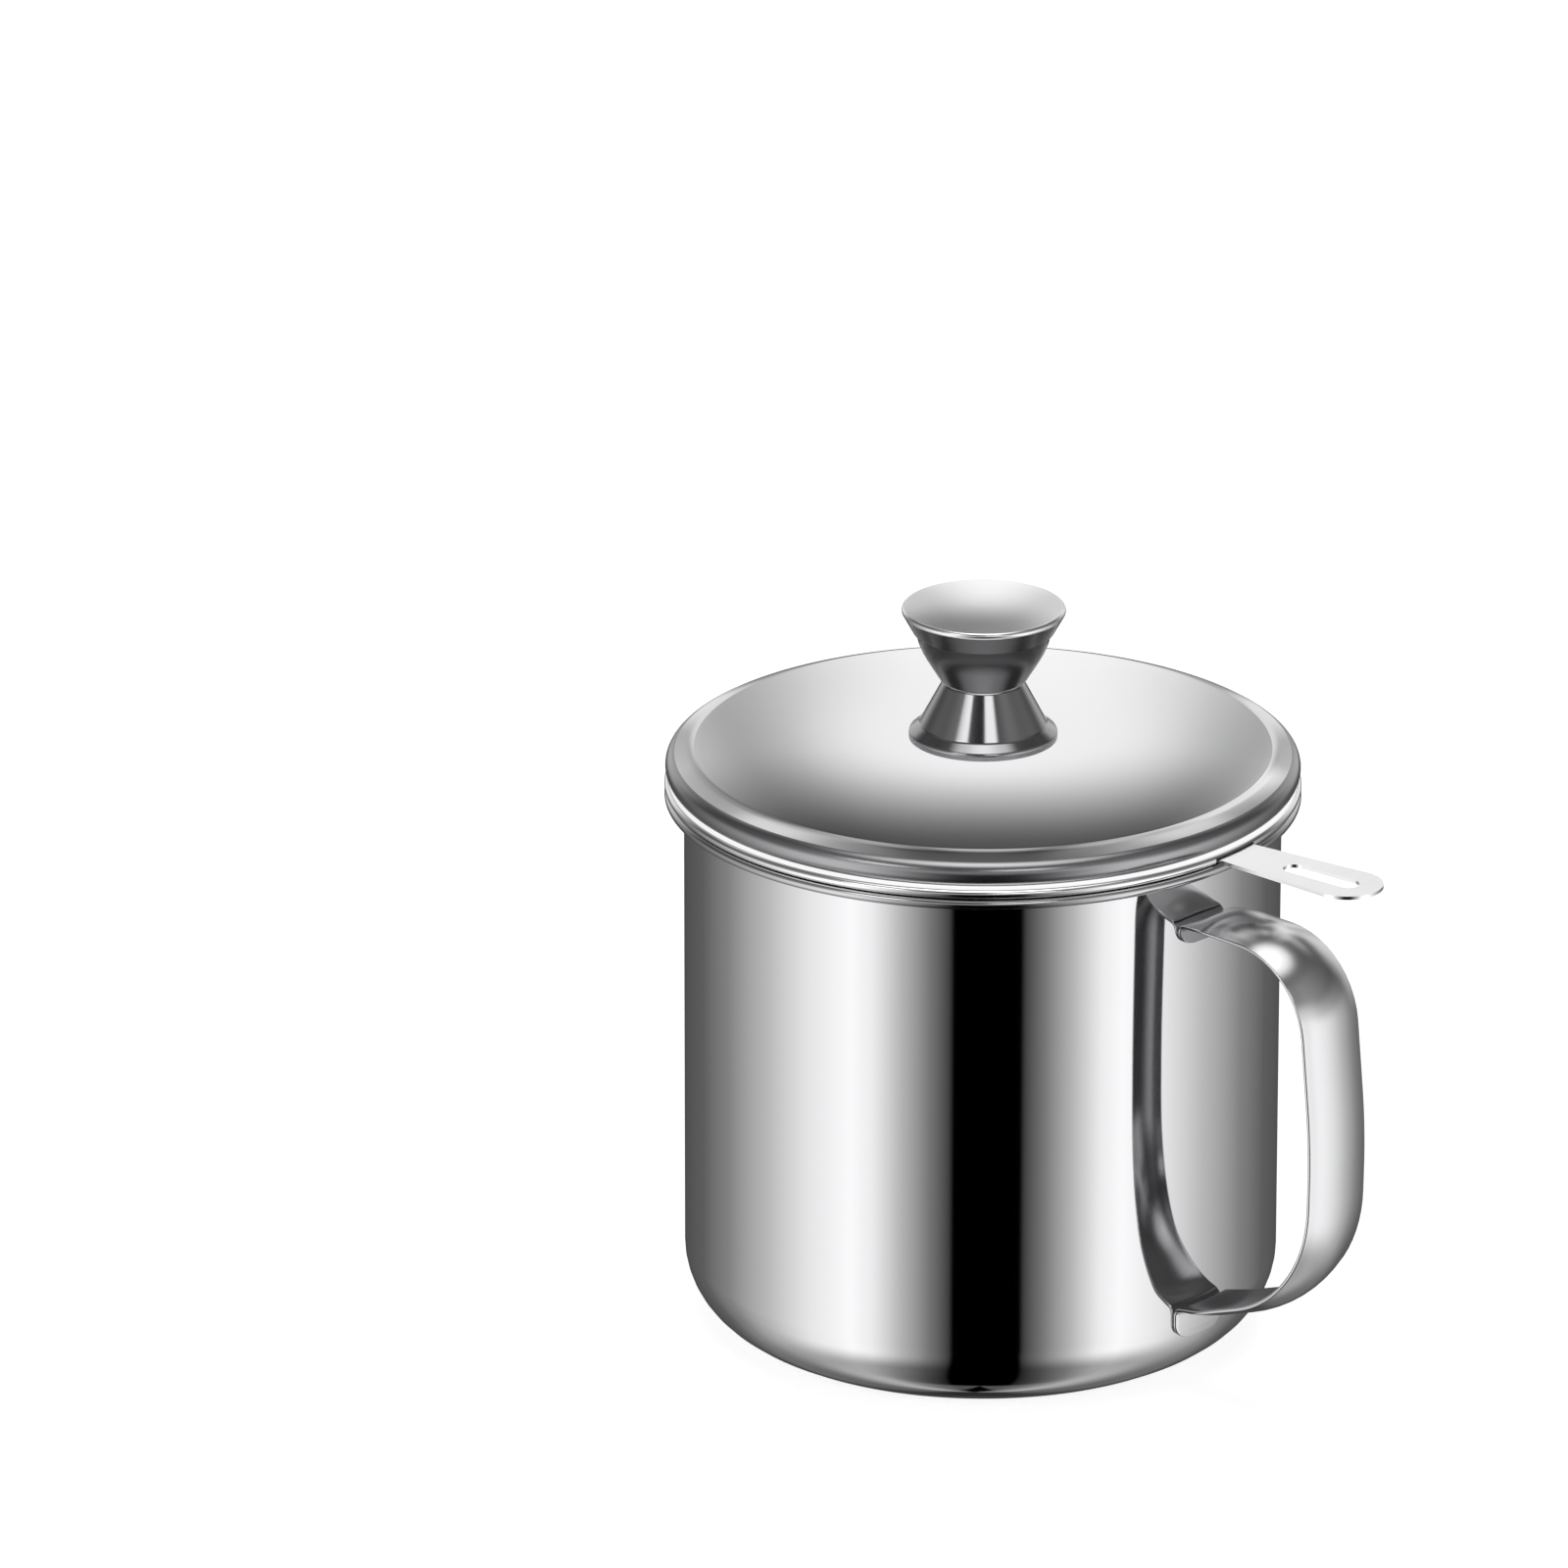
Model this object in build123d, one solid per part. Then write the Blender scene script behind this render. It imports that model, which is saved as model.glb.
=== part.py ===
from build123d import *
from math import asin, atan, cos, degrees, pi, radians, sin, sqrt, tan
import os

# Bacon grease container in stainless steel: a deep-drawn pot with a strap handle, a drop-in
# strainer with a pierced screen and a pull tab, and a lid with an hourglass knob.
# Millimetres and degrees. The origin is the centre of the flat floor, +Z is up, and the
# handle points along +X.

# ---- Pot ----
pot_height = 127.5              # floor to the crown of the rim
pot_body_diameter = 135.2       # outside of the straight wall
pot_sheet = 0.5
pot_corner_radius = 17.6        # outside, where the wall turns into the floor
rim_overhang = 4.4              # outside of the curled rim, beyond the wall
rim_curl_radius = 1.2
rim_curl_turn = 200.0           # how far the curl rolls on from its crown

# ---- Strap handle, measured along the middle of its edge ----
strap_width = 18.5
strap_sheet = 0.9
strap_crown = 2.2               # how far the strap's back bulges above its edges
strap_edge = 1.8                # height of the turned-in edges
strap_corner = 0.5              # outer corner between the back and a turned-in edge
handle_drop = 13.2              # crown of the rim down to the upper arm
handle_rise = 3.4               # top of the pot's corner up to where the lower arm meets it
handle_reach = 40.3             # wall to the outermost point
upper_corner_inset = 4.4        # the upper corner stands this far inside the reach
heel_inset = 0.8
shoulder_drop = 42.0            # upper arm down to where the grip turns upright
heel_rise = 14.4                # lower foot up to the heel corner
upper_bend_radius = 19.0
shoulder_bend_radius = 150.0
heel_bend_radius = 32.0
foot_width = 16.5
foot_bend_radius = 2.4
foot_corner_radius = 4.0
upper_flange_height = 5.5       # bent down against the wall, below the arm's top face
lower_flange_wrap = 3.5         # how far the lower flange follows the corner of the pot
foot_neck = 4.0                 # flat stretch of each arm next to the wall
foot_taper = 10.0               # stretch in which the flat arm becomes the crowned strap

# ---- Strainer ----
strainer_sheet = 0.45
strainer_roll_radius = 1.0
strainer_roll_turn = 250.0
strainer_fit = 1.0              # bowl wall inside the pot's wall, at the flange
strainer_wall_slope = 0.119     # inward run of the wall for each millimetre of depth
strainer_mouth_fillet = 2.4
strainer_depth = 22.55          # flange face down to the inside of the bowl floor
cone_top_depth = 14.4           # where the wall turns into the conical lower part
cone_run = 9.7                  # inward run of the conical part
cone_bend_radius = 6.0
bead_inset = 7.2                # cone's foot to the ring that clinches the screen
bead_roll_radius = 1.3
bead_rise = 2.15                # bead crown above the bowl floor
bead_fillet = 0.8

# ---- Screen ----
screen_sheet = 0.3
screen_lip_height = 1.1
screen_border = 7.7             # unpierced, inside the bead
bare_centre_radius = 6.5
hole_ring_pitch = 4.1
hole_gap = 5.4                  # spacing along a ring
hole_size = 1.7
locating_hole_offset = 2.0      # outside the pierced zone
locating_hole_diameter = 1.1
locating_hole_azimuth = 38.0

# ---- Pull tab of the strainer ----
tab_azimuth = 5.0
tab_sheet = 0.8
tab_reach = 38.9                # rolled edge to the rounded tip
tab_root_width = 12.6
tab_end_width = 16.6
tab_bend_radius = 2.2
slot_length = 20.0
slot_width = 5.2
slot_bridge = 5.2               # metal between the slot and the tip
leg_width = 16.6
leg_height = 13.6               # below the tab's top face
leg_flare_depth = 6.0           # where the leg reaches its full width
leg_corner_radius = 5.0
tab_headroom = 0.35             # gap between the tab and the flange above it

# ---- Lid ----
lid_sheet = 0.45
lid_inset = 0.2                 # inside the strainer's edge
lid_lip_radius = 3.0
lid_band_width = 6.0            # crease to the lid's edge
lid_seat_rise = 6.7             # flat under the knob, above the widest level of the lip
lid_seat_margin = 0.7           # flat seat, beyond the knob
lid_band_angle = 19.0           # slope of the band outside the crease
lid_skirt_depth = 10.0          # below the widest level
lid_neck_step = 1.1             # how far the neck stands inside the skirt
lid_neck_height = 1.4
lid_neck_fillet = 0.7
lid_skirt_fillet = 0.8

# ---- Knob ----
knob_sheet = 0.5
knob_base_diameter = 33.6
knob_base_lip = 1.5             # upright edge that stands on the lid
knob_flare_run = 2.3            # foot of the lower cone, out to the lip
knob_flare_rise = 1.8
knob_waist_height = 13.4
knob_waist_radius = 9.1
knob_body_step = 0.4            # the upper cone stands proud of the waist
knob_neck_radius = 15.5         # top of the upper cone, where it enters the cap
knob_shoulder_inset = 0.9       # the cone's bulge stands this far inside the neck
knob_shoulder_height = 8.3      # waist to the bulge
knob_body_height = 16.8         # waist to the widest level of the cap
knob_cap_overhang = 3.0         # cap's edge beyond the neck
knob_cap_lip_radius = 0.9
knob_cap_height = 2.2           # crown above the widest level
knob_cap_sheet = 0.5
knob_skirt_angle = 29.0         # lean of the cap's skirt, from its edge in to the neck
knob_tuck = 0.3                 # the upper cone's edge stops this far below the cap's roll
knob_bend_radius = 0.9
knob_flare_bend_radius = 2.0
knob_lip_bend_radius = 1.0
knob_shoulder_bend_radius = 20.0
knob_foot_bend_radius = 1.8
knob_neck_bend_radius = 0.6

# ---- Knob fixing, M4 ----
screw_diameter = 4.0
screw_head_diameter = 7.6
screw_head_height = 2.4
screw_engagement = 8.0          # length in the insert
cross_width = 1.1
cross_length = 4.4
cross_depth = 1.5
washer_diameter = 10.0
washer_sheet = 0.8
insert_diameter = 8.0
insert_spigot_diameter = 6.0
insert_head_diameter = 8.8
insert_head_height = 0.9
insert_floor_gap = 0.4          # insert stops short of the lid, so the screw clamps the base

# ---- Clearances ----
seat_gap = 0.3                  # between the stacked rims
lid_fit = 0.3                   # lid skirt inside the strainer
inner_fit = 0.05                # between parts that are fixed together
screen_lip_fit = 0.25           # screen's lip inside the bead
screw_hole_play = 0.25          # round the screw, in the lid and the washer
notch_margin = 0.6              # round the tab, in the strainer's rolled edge
weld_gap = 0.05                 # film of weld between the handle's feet and the pot
flat_crown = 0.02               # what is left of the strap's crown at its feet

# ---- Derived sizes ----
pot_outer_radius = pot_body_diameter / 2
pot_inner_radius = pot_outer_radius - pot_sheet
rim_radius = pot_outer_radius + rim_overhang
rim_crown_radius = rim_radius - rim_curl_radius
rim_flare_radius = rim_crown_radius - pot_inner_radius

strainer_radius = rim_radius
roll_centre_radius = strainer_radius - strainer_roll_radius
rim_contact = rim_curl_radius + strainer_roll_radius + seat_gap
roll_rise = sqrt(rim_contact**2 - (roll_centre_radius - rim_crown_radius) ** 2)
flange_level = pot_height - rim_curl_radius + roll_rise + strainer_roll_radius
wall_angle = atan(strainer_wall_slope)
mouth_outer_radius = pot_inner_radius - strainer_fit
mouth_inner_radius = mouth_outer_radius - strainer_sheet / cos(wall_angle)
cone_top_radius = mouth_inner_radius - strainer_wall_slope * cone_top_depth
cone_foot_radius = cone_top_radius - cone_run
bead_radius = cone_foot_radius - bead_inset
hole_zone_radius = bead_radius - screen_border

lid_radius = strainer_radius - lid_inset
lid_level = flange_level + seat_gap + lid_lip_radius
skirt_foot_depth = flange_level - (lid_level - lid_skirt_depth)
skirt_radius = mouth_inner_radius - strainer_wall_slope * skirt_foot_depth - lid_fit
knob_level = lid_level + lid_seat_rise
knob_waist_level = knob_level + knob_waist_height
knob_cap_level = knob_waist_level + knob_body_height

tab_top = flange_level - strainer_sheet - tab_headroom
tab_tip_radius = strainer_radius + tab_reach
handle_root = pot_corner_radius + handle_rise


def sheet(path, thickness):
    """Section of sheet metal: the path is one face, and the metal lies on its right."""
    section = Sketch()
    for run in Wire(path.edges()).order_edges():
        near = [run @ share for share in (0, 0.5, 1)]
        far = [run @ share + (run % share).rotate(Axis.Z, -90) * thickness for share in (0, 0.5, 1)]
        straight = run.geom_type == GeomType.LINE
        back = Line(far[0], far[2]) if straight else ThreePointArc(*far)
        section += make_face([run, back, Line(near[0], far[0]), Line(near[2], far[2])])
    return section


def turned(section):
    """Solid of revolution of a section drawn as radius and height."""
    return revolve(Plane.XZ * section, Axis.Z)


def turned_ring(inner_radius, outer_radius, low, high):
    """Ring or disc between two heights."""
    block = Rectangle(outer_radius - inner_radius, high - low, align=(Align.MIN, Align.MIN))
    return turned(Location((inner_radius, low)) * block)


# ---- Pot and its handle ----
def pot_body():
    """Deep-drawn pot: floor, rounded corner, wall, and a rim flared and curled outwards."""
    corner_centre = (pot_outer_radius - pot_corner_radius, pot_corner_radius)
    flare_level = pot_height - rim_flare_radius
    path = Line((0, pot_sheet), (corner_centre[0], pot_sheet))
    path += CenterArc(corner_centre, pot_corner_radius - pot_sheet, -90, 90)
    path += Line((pot_inner_radius, pot_corner_radius), (pot_inner_radius, flare_level))
    path += CenterArc((rim_crown_radius, flare_level), rim_flare_radius, 180, -90)
    curl_centre = (rim_crown_radius, pot_height - rim_curl_radius)
    path += CenterArc(curl_centre, rim_curl_radius, 90, -rim_curl_turn)
    return turned(sheet(path, pot_sheet))


def handle_corners():
    """Corners of the handle's line in the XZ plane, from the upper foot to the lower one."""
    upper = pot_height - handle_drop
    reach = pot_outer_radius + handle_reach
    corners = (
        (pot_outer_radius, upper),
        (reach - upper_corner_inset, upper),
        (reach, upper - shoulder_drop),
        (reach - heel_inset, handle_root + heel_rise),
        (pot_outer_radius, handle_root),
    )
    return [Vector(radius, 0, height) for radius, height in corners]


def strap_section(width, crown, edge, corner):
    """Crowned strip with turned-in edges, centred on the middle of its edges."""
    half = width / 2
    inner = half - strap_sheet
    top = edge / 2
    under = top - strap_sheet
    lines = ThreePointArc((-half, top), (0, top + crown), (half, top))
    lines += Polyline((half, top), (half, -top), (inner, -top), (inner, under))
    lines += ThreePointArc((inner, under), (0, under + crown), (-inner, under))
    lines += Polyline((-inner, under), (-inner, -top), (-half, -top), (-half, top))
    face = make_face(lines)
    back_corners = face.vertices().filter_by(lambda v: abs(v.X) > inner + 0.01 and v.Y > 0)
    return fillet(back_corners, corner)


def across(point, direction):
    """Plane at right angles to the handle's line, its Y axis towards the strap's back."""
    return Plane(origin=point, x_dir=(0, 1, 0), z_dir=direction)


def handle_foot(path, low, high):
    """Flange and bend of one arm, turned about the pot's axis so that it seats on the wall."""
    outline = Location((0, (low + high) / 2)) * Rectangle(foot_width, high - low)
    outline = fillet(outline.vertices().group_by(Axis.Y)[0], foot_corner_radius)
    window = extrude(Plane.YZ * outline, pot_outer_radius + foot_neck + foot_taper)
    return turned(sheet(path, strap_sheet)) & window


def upper_foot():
    """The upper arm's flange hangs below it."""
    top = pot_height - handle_drop + strap_sheet / 2
    low = top - upper_flange_height
    wall = pot_outer_radius + weld_gap
    arm_end = (wall + foot_neck + strap_sheet, top)
    path = FilletPolyline((wall, low), (wall, top), arm_end, radius=foot_bend_radius)
    return handle_foot(path, low, top + strap_sheet)


def lower_foot(slope):
    """The lower arm's flange follows the wall into the pot's rounded corner."""
    wall = pot_outer_radius + weld_gap
    seat_radius = pot_corner_radius + weld_gap
    root = handle_root + strap_sheet / 2 * sqrt(1 + slope**2)
    arm_run = foot_neck + strap_sheet
    arm_end = (wall + arm_run, root + arm_run * slope)
    wrap_angle = degrees(asin(lower_flange_wrap / seat_radius))
    corner_centre = (wall - seat_radius, pot_corner_radius)
    path = CenterArc(corner_centre, seat_radius, -wrap_angle, wrap_angle)
    path += FilletPolyline(
        (wall, pot_corner_radius), (wall, root), arm_end, radius=foot_bend_radius
    )
    return handle_foot(path, pot_corner_radius - lower_flange_wrap, arm_end[1] + strap_sheet)


def pot_handle():
    """Strap handle: a crowned grip whose arms flatten into feet that follow the pot's wall."""
    corners = handle_corners()
    out_dir = (corners[1] - corners[0]).normalized()
    in_dir = (corners[4] - corners[3]).normalized()
    slope = in_dir.Z / in_dir.X
    stretch = sqrt(1 + slope**2)
    neck_start = corners[0] + out_dir * foot_neck
    grip_start = corners[0] + out_dir * (foot_neck + foot_taper)
    grip_end = corners[4] - in_dir * (foot_neck + foot_taper) * stretch
    neck_end = corners[4] - in_dir * foot_neck * stretch

    bends = [upper_bend_radius, shoulder_bend_radius, heel_bend_radius]
    line = FilletPolyline(grip_start, *corners[1:4], grip_end, radius=bends)
    full = strap_section(strap_width, strap_crown, strap_edge, strap_corner)
    flat = strap_section(foot_width, flat_crown, strap_sheet + flat_crown, strap_corner / 2)
    grip = sweep(across(grip_start, out_dir) * full, path=line)
    upper_arm = loft([across(neck_start, out_dir) * flat, across(grip_start, out_dir) * full])
    lower_arm = loft([across(grip_end, in_dir) * full, across(neck_end, in_dir) * flat])
    return grip + upper_arm + lower_arm + upper_foot() + lower_foot(slope)


# ---- Strainer ----
def strainer_bowl():
    """Pressed bowl: bead, floor, conical corner, wall, flat flange and rolled edge."""
    floor = flange_level - strainer_depth
    bead_centre = (bead_radius, floor + bead_rise - bead_roll_radius)
    inner_leg = bead_radius - bead_roll_radius
    outer_leg = bead_radius + bead_roll_radius
    path = Line((inner_leg, floor + inner_fit), (inner_leg, bead_centre[1]))
    path += CenterArc(bead_centre, bead_roll_radius, 180, -180)
    path += FilletPolyline(
        (outer_leg, bead_centre[1]),
        (outer_leg, floor),
        (cone_foot_radius, floor),
        (cone_top_radius, flange_level - cone_top_depth),
        (mouth_inner_radius, flange_level),
        (roll_centre_radius, flange_level),
        radius=[bead_fillet, cone_bend_radius, cone_bend_radius, strainer_mouth_fillet],
    )
    roll_centre = (roll_centre_radius, flange_level - strainer_roll_radius)
    path += CenterArc(roll_centre, strainer_roll_radius, 90, -strainer_roll_turn)
    return turned(sheet(path, strainer_sheet)) - tab_notch()


def tab_notch():
    """Gap in the rolled edge through which the tab leaves."""
    inside = roll_centre_radius - strainer_roll_radius - notch_margin
    run = strainer_radius + notch_margin - inside
    width = tab_root_width + 2 * notch_margin
    height = 2 * strainer_roll_radius
    block = Box(run, width, height, align=(Align.MIN, Align.CENTER, Align.MAX))
    return Rot(0, 0, tab_azimuth) * Pos(inside, 0, flange_level - strainer_sheet) * block


def strainer_screen():
    """Pierced disc with rings of holes round a bare centre, its lip clinched in the bead."""
    floor = flange_level - strainer_depth
    edge_radius = bead_radius - bead_roll_radius + strainer_sheet + screen_lip_fit + screen_sheet
    plate = Circle(edge_radius)
    rings = int((hole_zone_radius - bare_centre_radius) / hole_ring_pitch)
    for ring in range(rings):
        radius = bare_centre_radius + hole_ring_pitch * (ring + 0.5)
        count = round(2 * pi * radius / hole_gap)
        plate -= PolarLocations(radius, count) * Rectangle(hole_size, hole_size)
    turn = radians(locating_hole_azimuth)
    radius = hole_zone_radius + locating_hole_offset
    place = Location((radius * cos(turn), radius * sin(turn)))
    plate -= place * Circle(locating_hole_diameter / 2)
    disc = extrude(Pos(0, 0, floor - screen_sheet) * plate, screen_sheet)
    lip = turned_ring(edge_radius - screen_sheet, edge_radius, floor, floor + screen_lip_height)
    return disc + lip


def strainer_handle():
    """Pull tab: one bent strip, its leg flat against the bowl and its end slotted to hang."""
    root = mouth_outer_radius
    foot_level = tab_top - leg_height
    foot_place = (root - strainer_wall_slope * (flange_level - foot_level), foot_level)
    bend_place = (root - strainer_wall_slope * (flange_level - tab_top), tab_top)
    path = FilletPolyline(
        foot_place, bend_place, (tab_tip_radius, tab_top), radius=tab_bend_radius
    )
    strip = extrude(Plane.XZ * sheet(path, tab_sheet), leg_width, both=True)
    split = bend_place[0] + tab_bend_radius
    blank = tab_outline(split) + leg_outline(split, foot_level)
    return Rot(0, 0, tab_azimuth) * (strip & blank)


def tab_outline(start):
    """Plan of the tab: it widens from its root to a round end, and has the slot."""
    root = tab_root_width / 2
    end = tab_end_width / 2
    end_centre = tab_tip_radius - end
    flare_start = strainer_radius
    lines = Polyline(
        (end_centre, -end),
        (flare_start, -root),
        (start, -root),
        (start, root),
        (flare_start, root),
        (end_centre, end),
    )
    lines += ThreePointArc((end_centre, end), (tab_tip_radius, 0), (end_centre, -end))
    slot_middle = tab_tip_radius - slot_bridge - slot_length / 2
    plan = make_face(lines) - Pos(slot_middle, 0) * SlotOverall(slot_length, slot_width)
    return extrude(Pos(0, 0, tab_top - 2 * tab_sheet) * plan, 3 * tab_sheet)


def leg_outline(end, foot_level):
    """Front view of the leg: it flares below the tab and has rounded lower corners."""
    root = tab_root_width / 2
    half = leg_width / 2
    flare_top = tab_top - tab_bend_radius
    flare_foot = tab_top - leg_flare_depth
    lines = Polyline(
        (-root, tab_top + tab_sheet),
        (-root, flare_top),
        (-half, flare_foot),
        (-half, foot_level),
        (half, foot_level),
        (half, flare_foot),
        (root, flare_top),
        (root, tab_top + tab_sheet),
        close=True,
    )
    front = make_face(lines)
    front = fillet(front.vertices().group_by(Axis.Y)[0], leg_corner_radius)
    return extrude(Plane.YZ * front, end)


# ---- Lid ----
def lid_shell():
    """One pressed sheet: seat, dome, sloping band, rolled lip, neck and skirt."""
    bore = screw_diameter / 2 + screw_hole_play
    lip_centre = lid_radius - lid_lip_radius
    slope = radians(lid_band_angle)
    crease = lid_radius - lid_band_width
    band_end = lip_centre + lid_lip_radius * sin(slope)
    band_end_level = lid_level + lid_lip_radius * cos(slope)
    crease_level = band_end_level + (band_end - crease) * tan(slope)
    seat = knob_base_diameter / 2 + lid_seat_margin
    under = lid_level - lid_lip_radius
    neck = skirt_radius - lid_neck_step
    neck_foot = under - lid_neck_height
    path = Line((bore, knob_level), (seat, knob_level))
    path += TangentArc((seat, knob_level), (crease, crease_level), tangent=(1, 0))
    path += Line((crease, crease_level), (band_end, band_end_level))
    lip_turn = 180 - lid_band_angle
    path += CenterArc((lip_centre, lid_level), lid_lip_radius, 90 - lid_band_angle, -lip_turn)
    path += FilletPolyline(
        (lip_centre, under),
        (neck, under),
        (neck, neck_foot),
        (skirt_radius, neck_foot - lid_neck_height),
        (skirt_radius, lid_level - lid_skirt_depth),
        radius=[lid_neck_fillet, lid_skirt_fillet, lid_skirt_fillet],
    )
    return turned(sheet(path, lid_sheet))


# ---- Knob ----
def knob_base():
    """Lower cone: flat waist, flared foot and a short upright lip that stands on the lid."""
    lip = knob_base_diameter / 2
    lip_top = knob_level + knob_base_lip
    path = FilletPolyline(
        (insert_spigot_diameter / 2 + inner_fit, knob_waist_level),
        (knob_waist_radius, knob_waist_level),
        (lip - knob_flare_run, lip_top + knob_flare_rise),
        (lip, lip_top),
        (lip, knob_level),
        radius=[knob_bend_radius, knob_flare_bend_radius, knob_lip_bend_radius],
    )
    return turned(sheet(path, knob_sheet))


def cap_skirt():
    """Upper end, direction and inward normal of the outer face of the cap's skirt."""
    lean = radians(knob_skirt_angle)
    lip_centre = knob_neck_radius + knob_cap_overhang - knob_cap_lip_radius
    top = Vector(lip_centre, knob_cap_level) + Vector(cos(lean), -sin(lean)) * knob_cap_lip_radius
    return top, Vector(-sin(lean), -cos(lean)), Vector(-cos(lean), sin(lean))


def knob_body():
    """Upper cone: its floor stands on the waist, and its flared edge is held in the cap's skirt."""
    top, down, inward = cap_skirt()
    edge = top + inward * (knob_cap_sheet + inner_fit) + down * knob_tuck
    neck = edge + down * ((edge.X - knob_neck_radius) / -down.X)
    path = FilletPolyline(
        edge,
        neck,
        (knob_neck_radius - knob_shoulder_inset, knob_waist_level + knob_shoulder_height),
        (knob_waist_radius + knob_body_step, knob_waist_level),
        (insert_spigot_diameter / 2 + inner_fit, knob_waist_level),
        radius=[knob_neck_bend_radius, knob_shoulder_bend_radius, knob_foot_bend_radius],
    )
    return turned(sheet(path, knob_sheet))


def knob_cap():
    """Shallow dome with a rolled edge and a skirt that closes on the upper cone's neck."""
    lip_centre = knob_neck_radius + knob_cap_overhang - knob_cap_lip_radius
    crown = knob_cap_level + knob_cap_height
    edge_slope = 2 * atan((knob_cap_height - knob_cap_lip_radius) / lip_centre)
    edge = lip_centre + knob_cap_lip_radius * sin(edge_slope)
    edge_level = knob_cap_level + knob_cap_lip_radius * cos(edge_slope)
    lip_start = 90 - degrees(edge_slope)
    top, down, inward = cap_skirt()
    reach = (top.X + inward.X * (knob_cap_sheet + inner_fit) - knob_neck_radius) / -down.X
    path = TangentArc((0, crown), (edge, edge_level), tangent=(1, 0))
    lip_turn = lip_start + knob_skirt_angle
    path += CenterArc((lip_centre, knob_cap_level), knob_cap_lip_radius, lip_start, -lip_turn)
    path += Line(top, top + down * reach)
    return turned(sheet(path, knob_cap_sheet))


def knob_insert():
    """Tapped bush that rivets the two cones together and takes the screw."""
    shoulder = knob_waist_level - knob_sheet
    head = knob_waist_level + knob_sheet
    bush = turned_ring(0, insert_diameter / 2, knob_level + insert_floor_gap, shoulder)
    bush += turned_ring(0, insert_spigot_diameter / 2, shoulder, head)
    bush += turned_ring(0, insert_head_diameter / 2, head, head + insert_head_height)
    bore = screw_diameter / 2 + inner_fit
    bore_end = knob_level + screw_engagement + insert_floor_gap
    return bush - turned_ring(0, bore, knob_level, bore_end)


def knob_washer():
    """Flat washer under the lid."""
    top = knob_level - lid_sheet
    bore = screw_diameter / 2 + screw_hole_play
    return turned_ring(bore, washer_diameter / 2, top - washer_sheet, top)


def knob_screw():
    """Pan-head screw with a cross recess, driven from inside the lid."""
    seat = knob_level - lid_sheet - washer_sheet
    foot = seat - screw_head_height
    head = turned_ring(0, screw_head_diameter / 2, foot, seat)
    head = fillet(head.edges().group_by(Axis.Z)[0], screw_head_height / 2)
    bar = Box(cross_length, cross_width, cross_depth, align=(Align.CENTER, Align.CENTER, Align.MIN))
    recess = bar + Rot(0, 0, 90) * bar
    shank = turned_ring(0, screw_diameter / 2, seat, knob_level + screw_engagement)
    return head - Pos(0, 0, foot) * recess + shank


pieces = (
    pot_body,
    pot_handle,
    strainer_bowl,
    strainer_screen,
    strainer_handle,
    lid_shell,
    knob_base,
    knob_body,
    knob_cap,
    knob_insert,
    knob_washer,
    knob_screw,
)
os.makedirs("parts", exist_ok=True)
for build in pieces:
    export_step(build(), f"parts/{build.__name__}.step")
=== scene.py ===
from math import atan, atan2, cos, degrees, hypot, inf, pi, radians, sin, tan

import bmesh
import bpy
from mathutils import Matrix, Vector


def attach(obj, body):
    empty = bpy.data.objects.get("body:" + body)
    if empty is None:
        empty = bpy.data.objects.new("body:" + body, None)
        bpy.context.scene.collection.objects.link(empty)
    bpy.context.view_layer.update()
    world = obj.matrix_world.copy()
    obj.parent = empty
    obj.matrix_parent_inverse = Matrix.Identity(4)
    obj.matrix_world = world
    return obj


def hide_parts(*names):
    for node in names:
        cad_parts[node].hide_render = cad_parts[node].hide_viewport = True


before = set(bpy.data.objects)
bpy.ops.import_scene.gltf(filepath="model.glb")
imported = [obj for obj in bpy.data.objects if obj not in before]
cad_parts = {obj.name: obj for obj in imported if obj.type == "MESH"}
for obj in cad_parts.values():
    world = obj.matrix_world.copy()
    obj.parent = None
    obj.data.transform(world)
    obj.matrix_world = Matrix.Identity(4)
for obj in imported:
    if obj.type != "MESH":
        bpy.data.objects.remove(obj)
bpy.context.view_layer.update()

# Bacon grease container in stainless steel: pot with a strap handle, drop-in strainer, lid.
# Sizes are millimetres and degrees. Radii are from the container's axis and heights from the
# floor. Meshes are made in metres.

MM = 0.001
around = 288                    # segments of a turned piece
bend_step = 9.0                 # degrees between the points of a bend
arc_step = 2.5                  # longest step between the points of a bend
same_place = 1e-3               # points closer than this are one point


# ---- Sheet-metal sections ----
def unit(a, b):
    length = hypot(b[0] - a[0], b[1] - a[1])
    return (b[0] - a[0]) / length, (b[1] - a[1]) / length


def curl(start, heading, radius, turn, parts=5):
    """Corners of a roll to the right from a start and heading, and the place where it ends."""
    (x, y), angle, step = start, radians(heading), radians(turn) / parts
    side = radius * tan(step / 2)
    corners = []
    for _ in range(parts):
        x, y = x + side * cos(angle), y + side * sin(angle)
        corners.append((x, y))
        angle -= step
        x, y = x + side * cos(angle), y + side * sin(angle)
    return corners, (x, y)


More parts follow.
